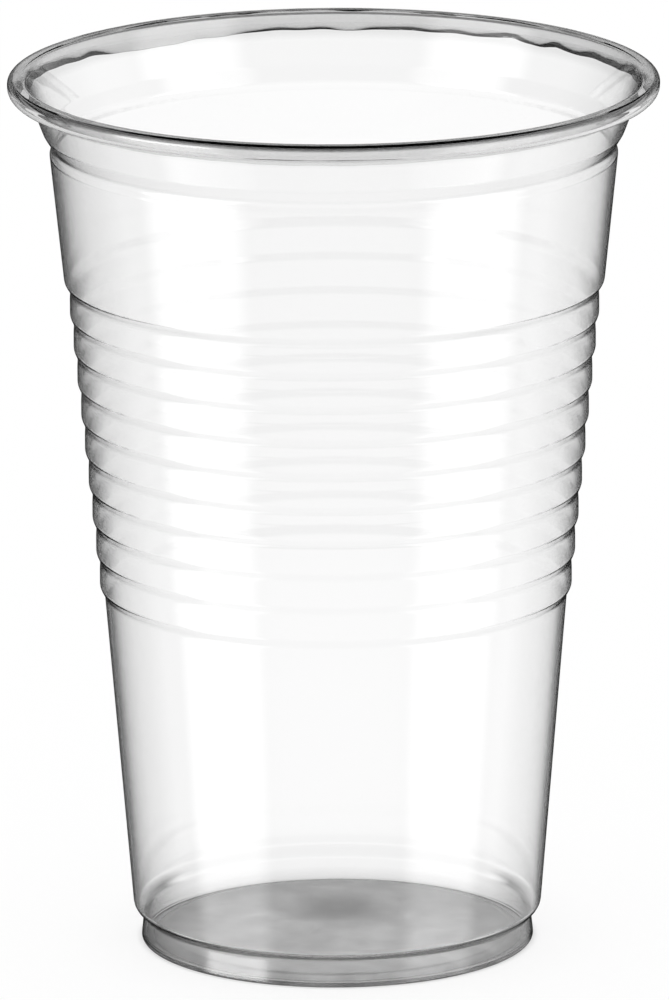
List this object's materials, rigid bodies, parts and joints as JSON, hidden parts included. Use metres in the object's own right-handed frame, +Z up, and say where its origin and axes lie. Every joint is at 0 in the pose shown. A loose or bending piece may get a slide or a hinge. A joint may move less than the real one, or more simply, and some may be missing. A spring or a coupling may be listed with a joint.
{
  "type": "disposable cup",
  "caption": "Clear thin-walled disposable drinking cup: tapered, with a belt of grip ribs, a curled rim, a stacking groove and a stepped foot.",
  "frame": {"origin": "centre of the foot's contact ring, on the plane the cup stands on", "axes": "+Z up along the cup's axis, out of its mouth; the cup is round, so +X and +Y are free"},
  "size_m": [0.0702, 0.0702, 0.096],
  "materials": {
    "clear_plastic": "clear, glossy, as formed"
  },
  "bodies": {
    "root": {"cup": "clear_plastic"}
  },
  "joints": []
}
